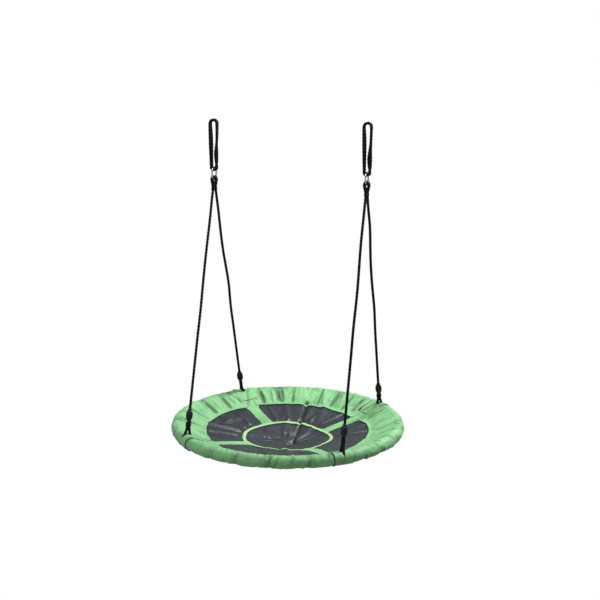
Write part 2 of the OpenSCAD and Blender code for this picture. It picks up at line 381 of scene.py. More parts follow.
def new_piece(name, points, faces, material, body, replaced=(), places=None, folds=None):
    """A smooth mesh piece that rides on a body. places gives each point's cloth coordinates, and folds gives
    how deep each point lies in a fold, which the cloth materials paint as shade.
    """
    mesh = bpy.data.meshes.new(name)
    mesh.from_pydata([tuple(p) for p in points], [], [tuple(f) for f in faces])
    mesh.materials.append(materials[material])
    mesh.polygons.foreach_set("use_smooth", np.ones(len(mesh.polygons), bool))
    corners = np.empty(len(mesh.loops), int)
    mesh.loops.foreach_get("vertex_index", corners)
    if places is not None:
        mesh.uv_layers.new(name="UVMap").data.foreach_set("uv", np.asarray(places)[corners].ravel())
    # The fold attribute sets the painted shade in the folds.
    if folds is not None:
        mesh.attributes.new("fold", "FLOAT", "POINT").data.foreach_set("value", np.ravel(folds))
    mesh.update()
    piece = bpy.data.objects.new(name, mesh)
    bpy.context.scene.collection.objects.link(piece)
    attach(piece, body)
    if replaced:
        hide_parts(*replaced)
    return piece


def grid_faces(rows, columns, rows_closed=False, columns_closed=False, start=0):
    """Quads of a grid of points, row by row, closed round in either direction."""
    i = np.arange(rows if rows_closed else rows - 1)
    j = np.arange(columns if columns_closed else columns - 1)
    i, j = (a.ravel() for a in np.meshgrid(i, j, indexing="ij"))
    below, right = (i + 1) % rows, (j + 1) % columns
    quads = [i * columns + j, below * columns + j, below * columns + right, i * columns + right]
    return np.stack(quads, -1) + start


def smooth_line(points, step, closed=False):
    """Points a step apart on a smooth curve through the given ones."""
    points = np.asarray(points, float)
    if closed:
        padded = np.vstack([points[-1], points, points[:2]])
    else:
        padded = np.vstack([2 * points[0] - points[1], points, 2 * points[-1] - points[-2]])
    t = np.linspace(0, 1, 24, endpoint=False)[:, None]
    dense = []
    for a, b, c, d in zip(padded, padded[1:], padded[2:], padded[3:]):
        dense.append(0.5 * (2 * b + (c - a) * t + (2 * a - 5 * b + 4 * c - d) * t**2
                            + (3 * b - a - 3 * c + d) * t**3))
    dense = np.vstack(dense + [points[:1] if closed else points[-1:]])
    along = np.concatenate([[0], np.cumsum(np.linalg.norm(np.diff(dense, axis=0), axis=1))])
    places = np.linspace(0, along[-1], max(2, round(along[-1] / step)) + 1)
    if closed:
        places = places[:-1]
    return np.stack([np.interp(places, along, dense[:, k]) for k in range(3)], -1)


def ring_frames(path, closed=False):
    """Two directions square to the path at each of its points, carried along without a twist."""
    if closed:
        tangents = np.roll(path, -1, 0) - np.roll(path, 1, 0)
    else:
        tangents = np.gradient(path, axis=0)
    tangents /= np.linalg.norm(tangents, axis=1)[:, None]
    side = np.cross(tangents[0], [0.36, 0.48, 0.8])
    sides = []
    for tangent in tangents:
        side = side - tangent * (side @ tangent)
        side /= np.linalg.norm(side)
        sides.append(side)
    sides = np.array(sides)
    return sides, np.cross(tangents, sides)


ROPE_FACETS = 20
ROPE_STEP = 1.6 * MM
BRAID_LENGTH = 14 * MM


def rope_rings(path, closed=False):
    """Rings of points of a braided rope, with its plaited bumps, and their cloth coordinates."""
    sides, ups = ring_frames(path, closed)
    along = np.arange(len(path)) * ROPE_STEP
    turn = np.arange(ROPE_FACETS) * TAU / ROPE_FACETS
    bump = np.cos(4 * turn)[None] * np.cos(TAU * along / BRAID_LENGTH)[:, None]
    bump = np.sign(bump) * np.abs(bump) ** 0.7
    radius = ROPE_R * (1.04 + 0.22 * bump)
    points = path[:, None] + radius[..., None] * (
        np.cos(turn)[None, :, None] * sides[:, None] + np.sin(turn)[None, :, None] * ups[:, None])
    places = np.stack(np.broadcast_arrays(along[:, None], (turn * ROPE_R)[None]), -1)
    return points, places


def rope_piece(name, rings, places, body, replaced=(), capped=(False, False)):
    """A rope piece from its rings of points. A capped end is rounded off, as a melted end is."""
    rows = list(rings)
    marks = list(places)
    for end, cap in zip((0, -1), capped):
        if not cap:
            continue
        outward = rings[0].mean(0) - rings[1].mean(0) if end == 0 else rings[-1].mean(0) - rings[-2].mean(0)
        outward /= np.linalg.norm(outward)
        middle = rings[end].mean(0)
        for share, rise in ((0.85, 1.6 * MM), (0.5, 2.8 * MM), (0.04, 3.2 * MM)):
            row = middle + (rings[end] - middle) * share + outward * rise
            rows.insert(0, row) if end == 0 else rows.append(row)
            marks.insert(0, places[end]) if end == 0 else marks.append(places[end])
    points = np.array(rows).reshape(-1, 3)
    faces = [tuple(f) for f in grid_faces(len(rows), ROPE_FACETS, columns_closed=True)]
    faces.append(tuple(range(ROPE_FACETS)))
    faces.append(tuple(range(len(points) - 1, len(points) - 1 - ROPE_FACETS, -1)))
    return new_piece(name, points, faces, "rope", body, replaced, np.array(marks).reshape(-1, 2))


def thin_tube(path, radius, facets=8):
    """Points and faces of a plain tube along a path."""
    sides, ups = ring_frames(path)
    turn = np.arange(facets) * TAU / facets
    points = path[:, None] + radius * (
        np.cos(turn)[None, :, None] * sides[:, None] + np.sin(turn)[None, :, None] * ups[:, None])
    points = points.reshape(-1, 3)
    faces = [tuple(f) for f in grid_faces(len(path), facets, columns_closed=True)]
    faces.append(tuple(range(facets)))
    faces.append(tuple(range(len(points) - 1, len(points) - 1 - facets, -1)))
    return points, faces


def joined(parts):
    """One list of points and of faces from several."""
    points, faces, start = [], [], 0
    for part_points, part_faces in parts:
        points.append(part_points)
        faces += [tuple(int(k) + start for k in f) for f in part_faces]
        start += len(part_points)
    return np.vstack(points), faces


def whipping(name, middle, axis, side, half_wide, half_deep, turns, cord_r, body):
    """A tight winding of thin cord round one or two ropes."""
    axis, side = np.array(axis), np.array(side)
    across = np.cross(axis, side)
    angle = np.linspace(0, TAU * turns, turns * 28)
    climb = (angle / TAU - turns / 2) * 2 * cord_r * 0.97
    path = (np.array(middle) + climb[:, None] * axis + half_wide * np.cos(angle)[:, None] * side
            + half_deep * np.sin(angle)[:, None] * across)
    points, faces = thin_tube(path, cord_r)
    places = np.stack([np.repeat(angle * half_wide, 8), np.tile(np.arange(8) * cord_r, len(path))], -1)
    return new_piece(name, points, faces, "rope", body, places=places)


# ---------------------------------------------------------------- ropes

# A sling loop's route from the foot of its left strand, over the eye and down its right strand,
# as X from the middle of the sling and Z from the eye. The two loops of a sling lie a little apart.
SLING_ROUTES = {
    "near": [(-11.2, -176), (-11.8, -160), (-13.2, -125), (-14.6, -85), (-15.3, -45), (-15.6, -15),
             (-14.6, 3), (-10.4, 10.8), (-4, 14.5), (4, 14.5), (10.4, 10.8), (14.6, 3),
             (15.4, -15), (15.2, -60), (14.8, -95), (15.8, -125), (15.2, -155), (12.2, -172)],
    "far": [(-10.8, -178), (-10.9, -160), (-10.6, -125), (-10.2, -85), (-11.4, -45), (-13.6, -18),
            (-14.4, 3), (-10.4, 10.8), (-4, 14.5), (4, 14.5), (10.4, 10.8), (14.4, 3),
            (14.2, -15), (12.4, -60), (8.2, -95), (4.4, -125), (6.4, -155), (10.6, -174)],
}


def sling_bight(route):
    """Points of the turn of a sling loop under the top wire of its ring, from right to left."""
    top = (RING_Z + RING_R) / MM
    ends = route[-1], route[0]
    turn = [(SLING_TURN_R / MM * math.cos(a), top + SLING_TURN_R / MM * math.sin(a))
            for a in np.radians([-15, -45, -75, -105, -135, -165])]
    return [ends[0], *turn, ends[1]]


def make_sling(side, sign):
    """Two endless loops from the hanging eye to the ring, and the turns under the ring's wire."""
    for loop, y in (("near", -STRAND_Y), ("far", STRAND_Y)):
        route = SLING_ROUTES[loop]
        corners = [(sign * HANG_X + x * MM, y, z * MM) for x, z in route + sling_bight(route)[1:-1]]
        path = smooth_line(corners, ROPE_STEP, closed=True)
        rings, places = rope_rings(path, closed=True)
        from_foot = np.linalg.norm(path[::-1] - np.array(corners[len(route) - 1]), axis=1)
        foot = len(path) - int(np.argmin(from_foot))
        name = f"sling_{side}_{loop}"
        strands = rope_piece(f"{name}_rope", rings[:foot], places[:foot], "slings", [f"sling_{side}"])
        around = np.vstack([rings[foot - 1:], rings[:1]])
        marks = np.vstack([places[foot - 1:], places[:1]])
        bight = rope_piece(f"{name}_bight", around, marks, "slings")


# A hanging rope's top, as X and the distance below the middle of the ring wire: its buried tail, the
# turn over the wire, and the start of its leg
EYE_ROUTE = [(-0.8, 40), (-1.6, 33), (-4.6, 22), (-8.4, 9), (-9.2, 0), (-7.8, -5.4), (-4.2, -9.0),
             (0, -10.2), (4.2, -9.0), (7.8, -5.4), (9.2, 0), (8.4, 9), (4.6, 22), (1.6, 33), (0.6, 44),
             (0.2, 60), (0, 84)]
EYE_SPLIT = 24 * MM
WAVE = {"back_right": (3.2 * MM, 0.4), "back_left": (3.0 * MM, 2.2),
        "front_left": (1.2 * MM, 1.1), "front_right": (1.4 * MM, 3.0)}
CALM_LENGTH = 0.34


def make_rope(corner):
    """A hanging rope: its turn over the ring wire, a whipping, and the long leg down to its rim loop."""
    sx, sy = CORNERS[corner]
    up = np.array(pull(corner))
    wire = np.array([sx * HANG_X, sy * STRAND_Y, RING_FOOT.z])
    across = np.array([1.0, 0.0, 0.0])
    straight = SLING_TURN_R
    foot = np.array(loop_top(corner)) + up * 1.5 * MM

    def below(x, d):
        down = np.array([0, 0, -1.0]) * min(d, straight) - up * max(d - straight, 0)
        return wire + across * x + down

    start = below(0, EYE_ROUTE[-1][1] * MM)
    length = float(np.linalg.norm(foot - start))
    size, phase = WAVE[corner]
    points = [below(x * MM, d * MM) for x, d in EYE_ROUTE]
    for share in np.linspace(0.06, 1, 20):
        left = length * (1 - share)
        calm = min(1, max(0, (left - CALM_LENGTH) / 0.15)) * min(1, share / 0.12)
        sway = size * calm * math.sin(share * 13 + phase)
        lean = 0.6 * size * calm * math.sin(share * 21 + 2 * phase)
        points.append(start + (foot - start) * share + across * sway + np.array([0, lean, 0]))
    path = smooth_line(points, ROPE_STEP)
    rings, places = rope_rings(path)
    depth = (wire - path) @ up
    crown = int(np.argmin(depth[:len(path) // 4]))
    split = crown + int(np.argmax(depth[crown:] > EYE_SPLIT))
    body = rope_body(corner)
    eye = rope_piece(f"rope_{corner}_eye", rings[:split + 1], places[:split + 1], body, capped=(True, False))
    leg = rope_piece(f"rope_{corner}_leg", rings[split:], places[split:], body, [f"rope_{corner}"])
    bound = whipping(f"rope_{corner}_whipping", below(0, 37 * MM), up, across, 6.6 * MM, 6.1 * MM, 9,
                     1.0 * MM, body)
    leg_path = path[split:]
    length = float(np.linalg.norm(np.diff(leg_path, axis=0), axis=1).sum())


LOOP_SPREAD = 5.4 * MM


def make_rim_loop(corner):
    """The rope round the frame tube: both strands come up through the flap to the foot of the leg."""
    angle = corner_angle(corner)
    out = np.array([math.cos(angle), math.sin(angle), 0.0])
    up = np.array(pull(corner))
    middle = np.array(rim_point(corner))
    top = np.array(loop_top(corner))
    level = np.array([0, 0, 1.0])
    right = [top + out * LOOP_SPREAD - up * d for d in (-1 * MM, 8 * MM, 16 * MM, 26 * MM)]
    left = [top - out * LOOP_SPREAD - up * d for d in (26 * MM, 16 * MM, 8 * MM, -1 * MM)]
    under = [middle + TUBE_HUG * (math.cos(a) * out + math.sin(a) * level)
             for a in np.radians(np.linspace(14, -194, 12))]
    path = smooth_line(right + under + left, ROPE_STEP)
    rings, places = rope_rings(path)
    loop = rope_piece(f"rim_loop_{corner}_rope", rings, places, "seat", [f"rim_loop_{corner}"], (True, True))
    bound = whipping(f"rim_loop_{corner}_whipping", top - up * 6 * MM, up, out, 11.4 * MM, 6.3 * MM, 7,
                     1.1 * MM, "seat")


# Half section of an adjuster from its foot to its top, as radius and height
ADJUSTER_SECTION = [(5.6, 3.0), (5.4, 1.0), (6.2, 0.1), (8.0, 0.0), (9.2, 0.8), (9.5, 2.2), (9.2, 3.8),
                    (9.6, 5.2), (10.8, 7.2), (12.4, 10.4), (13.4, 14.6), (13.8, 19.6), (13.8, 26.6),
                    (13.4, 32.0), (12.4, 36.6), (10.8, 40.2), (9.2, 42.8), (8.3, 44.8), (8.5, 46.8),
                    (8.3, 48.6), (7.4, 49.7), (6.2, 49.9), (5.4, 49.2), (5.4, 47.0)]
LATHE_STEPS = 56


def make_adjuster(corner):
    """An egg-shaped moulded adjuster: rolled lips at both ends and a parting line round its sides."""
    up = np.array(pull(corner))
    across = np.array([1.0, 0.0, 0.0])
    depth = np.cross(up, across)
    foot = np.array(loop_top(corner)) + up * ADJUSTER_RISE
    turn = np.arange(LATHE_STEPS) * TAU / LATHE_STEPS
    seam = np.exp(-(np.sin(turn) / 0.07) ** 2) * 0.28 * MM
    section = smooth_line([(r, 0, h) for r, h in ADJUSTER_SECTION], 0.8) * MM
    radius = section[:, :1] + seam[None] * (section[:, :1] > 9 * MM)
    points = (foot + section[:, 2, None, None] * up + radius[..., None] * (
        np.cos(turn)[None, :, None] * across + np.sin(turn)[None, :, None] * depth))
    faces = grid_faces(len(section), LATHE_STEPS, rows_closed=True, columns_closed=True)
    new_piece(f"adjuster_{corner}_egg", points.reshape(-1, 3), faces, "plastic", f"adjuster_{corner}_slider",
              [f"adjuster_{corner}"])


WELD_ANGLE = math.radians(38)


def make_ring(side, sign):
    """A plated wire ring with the bead of its butt weld."""
    turn = np.arange(120) * TAU / 120
    round_wire = np.arange(20) * TAU / 20
    bead = np.exp(-((turn - WELD_ANGLE) / 0.07) ** 2)
    wire = WIRE_R * (1 + 0.22 * bead * (1 + 0.25 * np.sin(9 * turn)))
    reach = RING_R + wire[:, None] * np.cos(round_wire)[None]
    points = np.stack([
        sign * HANG_X + wire[:, None] * np.sin(round_wire)[None],
        reach * np.cos(turn)[:, None],
        RING_Z + reach * np.sin(turn)[:, None]], -1)
    faces = grid_faces(120, 20, rows_closed=True, columns_closed=True)
    new_piece(f"ring_{side}_wire", points.reshape(-1, 3), faces, "chrome", "rings", [f"ring_{side}"])


# ---------------------------------------------------------------- the seat's cloth surface

# The section of the seat, by slant length from the middle of the deck: the centre panel, the outer
# panels, the band of the covers up to the rim, and round the foam
BAND_ANGLE = math.atan2(-PANEL_Z, RIM_R - PANEL_R) + math.asin(COVER_R / math.hypot(RIM_R - PANEL_R, PANEL_Z))
TANGENT_R = RIM_R - COVER_R * math.sin(BAND_ANGLE)
TANGENT_Z = COVER_R * math.cos(BAND_ANGLE)
CENTRE_S = math.hypot(CENTRE_R, CENTRE_Z - SAG_Z)
PANEL_S = CENTRE_S + math.hypot(PANEL_R - CENTRE_R, PANEL_Z - CENTRE_Z)
TANGENT_S = PANEL_S + math.hypot(TANGENT_R - PANEL_R, TANGENT_Z - PANEL_Z)
WRAP_START = math.pi / 2 + BAND_ANGLE
SEAM_SOFTNESS = 11 * MM


def wrap_s(angle):
    """Slant length at an angle round the foam, which falls from the top outward and under."""
    return TANGENT_S + (WRAP_START - math.radians(angle)) * COVER_R


WRAP_END_S = wrap_s(-225)
SHEET_END_S = wrap_s(-60)


def plain_section(s):
    """Radius, height and outward normal of the section, with sharp seams."""
    s = np.abs(s)
    turn = WRAP_START - (s - TANGENT_S) / COVER_R
    stages = [s <= CENTRE_S, s <= PANEL_S, s <= TANGENT_S]
    share = [s / CENTRE_S, (s - CENTRE_S) / (PANEL_S - CENTRE_S), (s - PANEL_S) / (TANGENT_S - PANEL_S)]
    radii = [CENTRE_R * share[0], CENTRE_R + (PANEL_R - CENTRE_R) * share[1],
             PANEL_R + (TANGENT_R - PANEL_R) * share[2]]
    heights = [SAG_Z + (CENTRE_Z - SAG_Z) * share[0], CENTRE_Z + (PANEL_Z - CENTRE_Z) * share[1],
               PANEL_Z + (TANGENT_Z - PANEL_Z) * share[2]]
    radius = np.select(stages, radii, RIM_R + COVER_R * np.cos(turn))
    height = np.select(stages, heights, COVER_R * np.sin(turn))
    return radius, height


def section(s):
    """Radius and height of the section, with its seams rounded as hanging cloth rounds them."""
    s = np.asarray(s, float)
    reach = SEAM_SOFTNESS * np.clip((TANGENT_S - s) / (3 * SEAM_SOFTNESS), 0, 1)
    radius, height = 0.0, 0.0
    offsets = np.linspace(-1, 1, 9)
    for offset in offsets:
        place = s + offset * reach
        r, z = plain_section(place)
        radius = radius + np.where(place < 0, -r, r) / len(offsets)
        height = height + z / len(offsets)
    return radius, height


TABLE_S = np.linspace(0, WRAP_END_S, 3000)
TABLE_R, TABLE_Z = section(TABLE_S)
TABLE_DR, TABLE_DZ = np.gradient(TABLE_R, TABLE_S), np.gradient(TABLE_Z, TABLE_S)


def slant(radius):
    """Slant length at a plan radius on the deck or the band."""
    flat = TABLE_S < TANGENT_S
    return np.interp(radius, TABLE_R[flat], TABLE_S[flat])


def fold(x, y, start, end, width, height, power=1.4):
    """Height of a straight fold between two plan points. A high power gives it a soft crest."""
    (ax, ay), (bx, by) = start, end
    length2 = (bx - ax) ** 2 + (by - ay) ** 2
    along = np.clip(((x - ax) * (bx - ax) + (y - ay) * (by - ay)) / length2, 0, 1)
    away = np.hypot(x - ax - along * (bx - ax), y - ay - along * (by - ay))
    return height * np.exp(-(away / width) ** power)


# Folds of the deck: start and end in plan, half width and height, all in millimetres, and the power
DECK_FOLDS = [
    ((-26, 392), (-6, 215), 9, -9, 1.1), ((-6, 215), (10, 30), 8, -8, 1.0),
    ((10, 30), (14, -8), 15, -7, 1.6), ((18, -30), (24, -180), 12, -2.5, 1.3),
    ((46, -170), (54, -205), 22, 4.5, 1.7), ((0, 10), (-120, 78), 15, 5, 1.5),
    ((-14, -8), (-160, -12), 13, 3.5, 1.6), ((20, 40), (52, 160), 17, 4, 1.6),
    ((-40, 120), (-70, 165), 20, 3, 1.8), ((30, 0), (150, 40), 14, 3, 1.6),
    ((20, -30), (-70, -140), 16, 2.2, 1.8), ((-48, 36), (-110, 22), 9, -2.6, 1.3),
    ((24, 14), (110, 96), 10, -2.4, 1.4), ((-215, 46), (-335, 84), 14, 6, 1.5),
    ((-222, -18), (-350, -30), 16, 6.5, 1.6), ((-208, 96), (-282, 158), 13, 5, 1.5),
    ((-214, -70), (-318, -112), 15, 4, 1.6), ((-230, 14), (-330, 26), 9, -3.5, 1.3),
    ((-270, 120), (-300, 60), 16, 3, 1.8), ((202, 52), (352, 104), 7, -3.5, 1.2),
    ((214, -20), (345, -40), 15, 3, 1.7), ((210, 100), (300, 170), 14, 3.5, 1.6),
    ((36, 226), (70, 345), 18, 5, 1.7), ((-60, 214), (-110, 330), 17, 4.5, 1.7),
    ((96, 210), (170, 300), 14, 3.5, 1.5), ((-110, 190), (-180, 290), 13, 3.5, 1.5),
    ((60, -214), (110, -330), 16, 3.5, 1.6), ((-50, -215), (-90, -335), 16, 4, 1.6),
]
# Creases of the band and the rim: angle, half width, first and last slant length and height
BAND_CREASES = [
    (124, 7, 380, 470, -7), (117, 9, 375, 475, 5.5), (111, 7, 385, 480, -6), (104, 8, 380, 470, -5),
    (86, 7, 375, 485, -6.5), (82, 9, 380, 480, 5.5), (76, 6.5, 372, 475, -7), (71, 9, 385, 480, 5),
    (66, 7, 372, 480, -7), (61, 8, 380, 470, 5), (57, 6, 372, 466, -6), (150, 8, 385, 490, -6.5),
    (158, 10, 380, 480, 5.5), (164, 8, 385, 490, -7), (172, 9, 380, 480, 5), (178, 8, 375, 478, -6.5),
    (187, 10, 380, 480, 5), (195, 8, 378, 470, -5.5), (203, 10, 380, 480, 4.5), (211, 8, 378, 470, -5.5),
    (279, 5, 450, 570, -7.5), (274, 8, 460, 540, 2.2), (263, 7, 462, 540, -2.6), (251, 6, 466, 535, -2.6),
    (289, 8, 462, 540, -2.2), (298, 6, 468, 545, -2.4), (340, 10, 380, 470, 3.5), (350, 9, 385, 475, -4),
    (8, 9, 380, 470, 3.5), (22, 8, 375, 470, -5), (30, 9, 380, 470, 4.5), (37, 7, 375, 465, -5),
]
DECK_DEPTH = 1.8
GATHER_COUNT = 150
MOTTLE_COUNT = 620
random = np.random.default_rng(SEED)
GATHERS = np.stack([
    random.uniform(0, TAU, GATHER_COUNT), random.uniform(4, 10, GATHER_COUNT) * MM,
    PANEL_S + random.uniform(0.004, 0.05, GATHER_COUNT),
    TANGENT_S + random.uniform(-0.05, 0.05, GATHER_COUNT),
    random.uniform(1.0, 3.4, GATHER_COUNT) * MM * random.choice([-1.25, 1], GATHER_COUNT),
    random.uniform(-0.35, 0.35, GATHER_COUNT)], -1)
MOTTLES = np.stack([
    random.uniform(0, TAU, MOTTLE_COUNT), random.uniform(3, 8, MOTTLE_COUNT) * MM,
    TANGENT_S + random.uniform(-0.01, 0.125, MOTTLE_COUNT), random.uniform(7, 22, MOTTLE_COUNT) * MM,
    random.uniform(1.2, 3.6, MOTTLE_COUNT) * MM * random.choice([-1.2, 0.8], MOTTLE_COUNT)], -1)
WAVES = [(random.integers(3, 30), random.uniform(0, TAU), random.uniform(0, TAU), random.uniform(8, 40),
          random.uniform(0.2, 0.5) * MM) for _ in range(16)]


def ease(value, low, high):
    """0 below low, 1 above high, and a smooth step between them."""
    t = np.clip((value - low) / (high - low), 0, 1)
    return t * t * (3 - 2 * t)


def turn_from(theta, angle):
    return (theta - angle + math.pi) % TAU - math.pi


def crease(theta, s, angle, width, first, last, height, lean=0.0):
    """Height of a crease that runs along the section, at one angle round the seat."""
    total = np.zeros(np.broadcast(theta, s).shape)
    turn = turn_from(theta, angle)
    near = np.abs(turn) < 0.35
    if not near.any():
        return total
    turn, place = turn[near], np.broadcast_to(s, near.shape)[near]
    radius = np.interp(place, TABLE_S, TABLE_R)
    away = np.abs(turn * radius - lean * (place - (first + last) / 2)) / width
    reach = ease(place, first - 0.012, first + 0.018) * (1 - ease(place, last - 0.02, last + 0.02))
    total[near] = height * reach * np.exp(-away**1.45)
    return total


def sculpt(theta, s):
    """Height of the folds of the cloth over the plain section."""
    radius = np.interp(s, TABLE_S, TABLE_R)
    x, y = radius * np.cos(theta), radius * np.sin(theta)
    on_deck = 1 - ease(s, PANEL_S - 0.004, PANEL_S + 0.03)
    deck = sum(fold(x, y, np.multiply(a, MM), np.multiply(b, MM), w * MM, h * MM, p)
               for a, b, w, h, p in DECK_FOLDS)
    total = DECK_DEPTH * deck * on_deck
    for angle, width, first, last, height in BAND_CREASES:
        total = total + crease(theta, s, math.radians(angle), width * MM, first * MM, last * MM, height * MM)
    for angle, width, first, last, height, lean in GATHERS:
        total = total + crease(theta, s, angle, width, first, last, height, lean)
    for angle, width, middle, reach, height in MOTTLES:
        total = total + crease(theta, s, angle, width, middle - reach, middle + reach, height)
    for turns, phase, rise_phase, waves, height in WAVES:
        ripple = np.sin(turns * theta + phase) * np.sin(waves * s + rise_phase)
        total = total + height * ripple * ease(s, 0.02, 0.1)
    pucker = np.sin(theta * 170) * 0.35 * MM + np.sin(theta * 113 + 1) * 0.3 * MM
    for seam in (CENTRE_S, PANEL_S):
        total = total + pucker * np.exp(-((s - seam) / (9 * MM)) ** 2)
    firm = ease(s, TANGENT_S - 0.02, TANGENT_S + 0.01)
    return total * (1 - firm) + np.maximum(total, -1.6 * MM + 0.5 * total) * firm


# How far the binding and the band's inner edge stray from round, as angle in degrees and
# millimetres. Most of these numbers are a solver's, rounded.
BINDING_DRIFT = [(0, 3), (20, -3), (40, -8), (62, -12), (80, 0), (89, 13), (95, 8), (127, 9), (145, 8),
                 (165, 3), (195, 0), (216, 5), (240, 2), (300, 0), (340, 0)]
BAND_DRIFT = [(8, -11), (29, -7), (45, -20), (60, -18), (80, -10), (92, -2), (110, 1), (128, 8), (139, 0),
              (146, 7), (170, 0), (185, -1), (202, -8), (217, -7), (250, 0), (300, 0), (325, -11), (345, -13)]
BINDING_REACH = 45 * MM
BAND_REACH = 60 * MM


def stray(theta, s):
    """Slant length with the drift of the seams added."""
    for stops, seam, reach in ((BINDING_DRIFT, CENTRE_S, BINDING_REACH), (BAND_DRIFT, PANEL_S, BAND_REACH)):
        angles, moves = np.array(stops, float).T
        move = np.interp(theta % TAU, np.radians(angles), moves * MM, period=TAU)
        s = s + move * np.exp(-((s - seam) / reach) ** 2)
    return s


def place_on_seat(theta, s, lift):
    """Points of the seat's surface before the simulation."""
    r, z = np.interp(s, TABLE_S, TABLE_R), np.interp(s, TABLE_S, TABLE_Z)
    dr, dz = np.interp(s, TABLE_S, TABLE_DR), np.interp(s, TABLE_S, TABLE_DZ)
    size = np.hypot(dr, dz)
    r, z = r - dz / size * lift, z + dr / size * lift
    return np.stack(np.broadcast_arrays(r * np.cos(theta), r * np.sin(theta), z + RIM_Z), -1)


SHEET_STEP = 7 * MM
SHEET_FRAMES = 24
SHEET_HALF = int(math.ceil(SHEET_END_S / SHEET_STEP)) + 2
FOAM_MARGIN = 3.4 * MM
MOST_SHIFT = 9 * MM
SHIFT_SHARE = 0.75


def sheet_excess(s):
    """Spare cloth round the seat, as a share of each hoop's length."""
    stops = [0, CENTRE_S, PANEL_S, PANEL_S + 0.02, TANGENT_S, SHEET_END_S]
    return np.interp(s, stops, [0.008, 0.010, 0.014, 0.035, 0.03, 0.012])


def rest_section():
    """Rest shape of the sheet: its hoops have their spare cloth and its radial lengths are kept."""
    radius = TABLE_R * (1 + sheet_excess(TABLE_S))
    step = np.diff(TABLE_S)
    rise = np.sqrt(np.maximum(step**2 - np.diff(radius) ** 2, 0))
    height = np.concatenate([[0], np.cumsum(np.where(TABLE_S[1:] < TANGENT_S, rise, -rise))])
    return radius, height


def settle_cloth():
    """Lets one sheet of cloth settle over the foam and returns how far each of its points moves."""
    axis = np.arange(-SHEET_HALF, SHEET_HALF + 1) * SHEET_STEP
    x, y = np.meshgrid(axis, axis)
    s, theta = np.hypot(x, y), np.arctan2(y, x)
    moved = np.zeros(x.shape + (3,))
    inside = s <= SHEET_END_S
    index = -np.ones(x.shape, int)
    index[inside] = np.arange(inside.sum())
    quads = np.stack([index[:-1, :-1], index[:-1, 1:], index[1:, 1:], index[1:, :-1]], -1).reshape(-1, 4)
    quads = quads[(quads >= 0).all(1)]
    s, theta = s[inside], theta[inside]
    start = place_on_seat(theta, s, sculpt(theta, s))
    rest_r, rest_z = rest_section()
    rest_r, rest_z = np.interp(s, TABLE_S, rest_r), np.interp(s, TABLE_S, rest_z)
    rest = np.stack([rest_r * np.cos(theta), rest_r * np.sin(theta), rest_z], -1)
    mesh = bpy.data.meshes.new("settling_sheet")
    mesh.from_pydata(start.tolist(), [], quads.tolist())
    sheet = bpy.data.objects.new("settling_sheet", mesh)
    bpy.context.scene.collection.objects.link(sheet)
    sheet.shape_key_add(name="start")
    rest_key = sheet.shape_key_add(name="rest")
    rest_key.data.foreach_set("co", rest.ravel())
    rest_key.value = 0
    used = np.zeros(len(s), bool)
    used[quads.ravel()] = True
    pins = sheet.vertex_groups.new(name="pins")
    pins.add(np.where((s > SHEET_END_S - 2 * SHEET_STEP) | ~used)[0].tolist(), 1.0, "REPLACE")
    bpy.ops.mesh.primitive_torus_add(major_radius=RIM_R, minor_radius=COVER_R - FOAM_MARGIN,
                                     location=(0, 0, RIM_Z), major_segments=180, minor_segments=24)
    foam = bpy.context.object
    foam.modifiers.new("Collision", "COLLISION")
    foam.collision.thickness_outer = 0.5 * MM
    cloth = sheet.modifiers.new("Cloth", "CLOTH")
    cloth.settings.quality = 5
    cloth.settings.mass = 0.02
    cloth.settings.tension_stiffness = 40
    cloth.settings.compression_stiffness = 40
    cloth.settings.shear_stiffness = 24
    cloth.settings.bending_stiffness = 1.5
    cloth.settings.tension_damping = 8
    cloth.settings.compression_damping = 8
    cloth.settings.air_damping = 4
    cloth.settings.vertex_group_mass = "pins"
    cloth.settings.rest_shape_key = rest_key
    cloth.collision_settings.distance_min = 1 * MM
    cloth.collision_settings.use_self_collision = False
    scene = bpy.context.scene
    scene.frame_start, scene.frame_end = 1, SHEET_FRAMES
    cloth.point_cache.frame_start, cloth.point_cache.frame_end = 1, SHEET_FRAMES
    for number in range(1, SHEET_FRAMES + 1):
        scene.frame_set(number)
    settled = sheet.evaluated_get(bpy.context.evaluated_depsgraph_get())
    places = np.empty(len(s) * 3)
    settled.data.vertices.foreach_get("co", places)
    shift = places.reshape(-1, 3) - start
    shift -= hoop_mean(shift, s, theta)
    size = np.linalg.norm(shift, axis=1)[:, None]
    shift *= SHIFT_SHARE * np.minimum(1, MOST_SHIFT / np.maximum(size, 1e-9))
    moved[inside] = shift * used[:, None]
    for made in (sheet, foam):
        bpy.data.objects.remove(made)
    scene.frame_set(1)
    return moved


def hoop_mean(shift, s, theta):
    """Mean move of each hoop of the sheet, which would change the size of the seat."""
    out = np.stack([np.cos(theta), np.sin(theta)], -1)
    hoop = (s / (2 * SHEET_STEP)).astype(int)
    count = np.bincount(hoop)
    radial = np.bincount(hoop, (shift[:, :2] * out).sum(1)) / count
    rise = np.bincount(hoop, shift[:, 2]) / count
    middles = (np.arange(len(count)) + 0.5) * 2 * SHEET_STEP
    return np.column_stack([out * np.interp(s, middles, radial)[:, None], np.interp(s, middles, rise)])


sheet_moves = settle_cloth()


def settled_move(theta, s):
    """How far the simulation moved the cloth at these places, read smoothly between its points."""
    u = s * np.cos(theta) / SHEET_STEP + SHEET_HALF
    v = s * np.sin(theta) / SHEET_STEP + SHEET_HALF
    last = 2 * SHEET_HALF
    column, row = np.floor(u).astype(int), np.floor(v).astype(int)
    total = 0.0
    for j in range(-1, 3):
        for i in range(-1, 3):
            weight = spline_weight(u - column - i) * spline_weight(v - row - j)
            near = sheet_moves[np.clip(row + j, 0, last), np.clip(column + i, 0, last)]
            total = total + weight[..., None] * near
    return total * (1 - ease(s, SHEET_END_S - 0.02, SHEET_END_S - 0.005))[..., None]


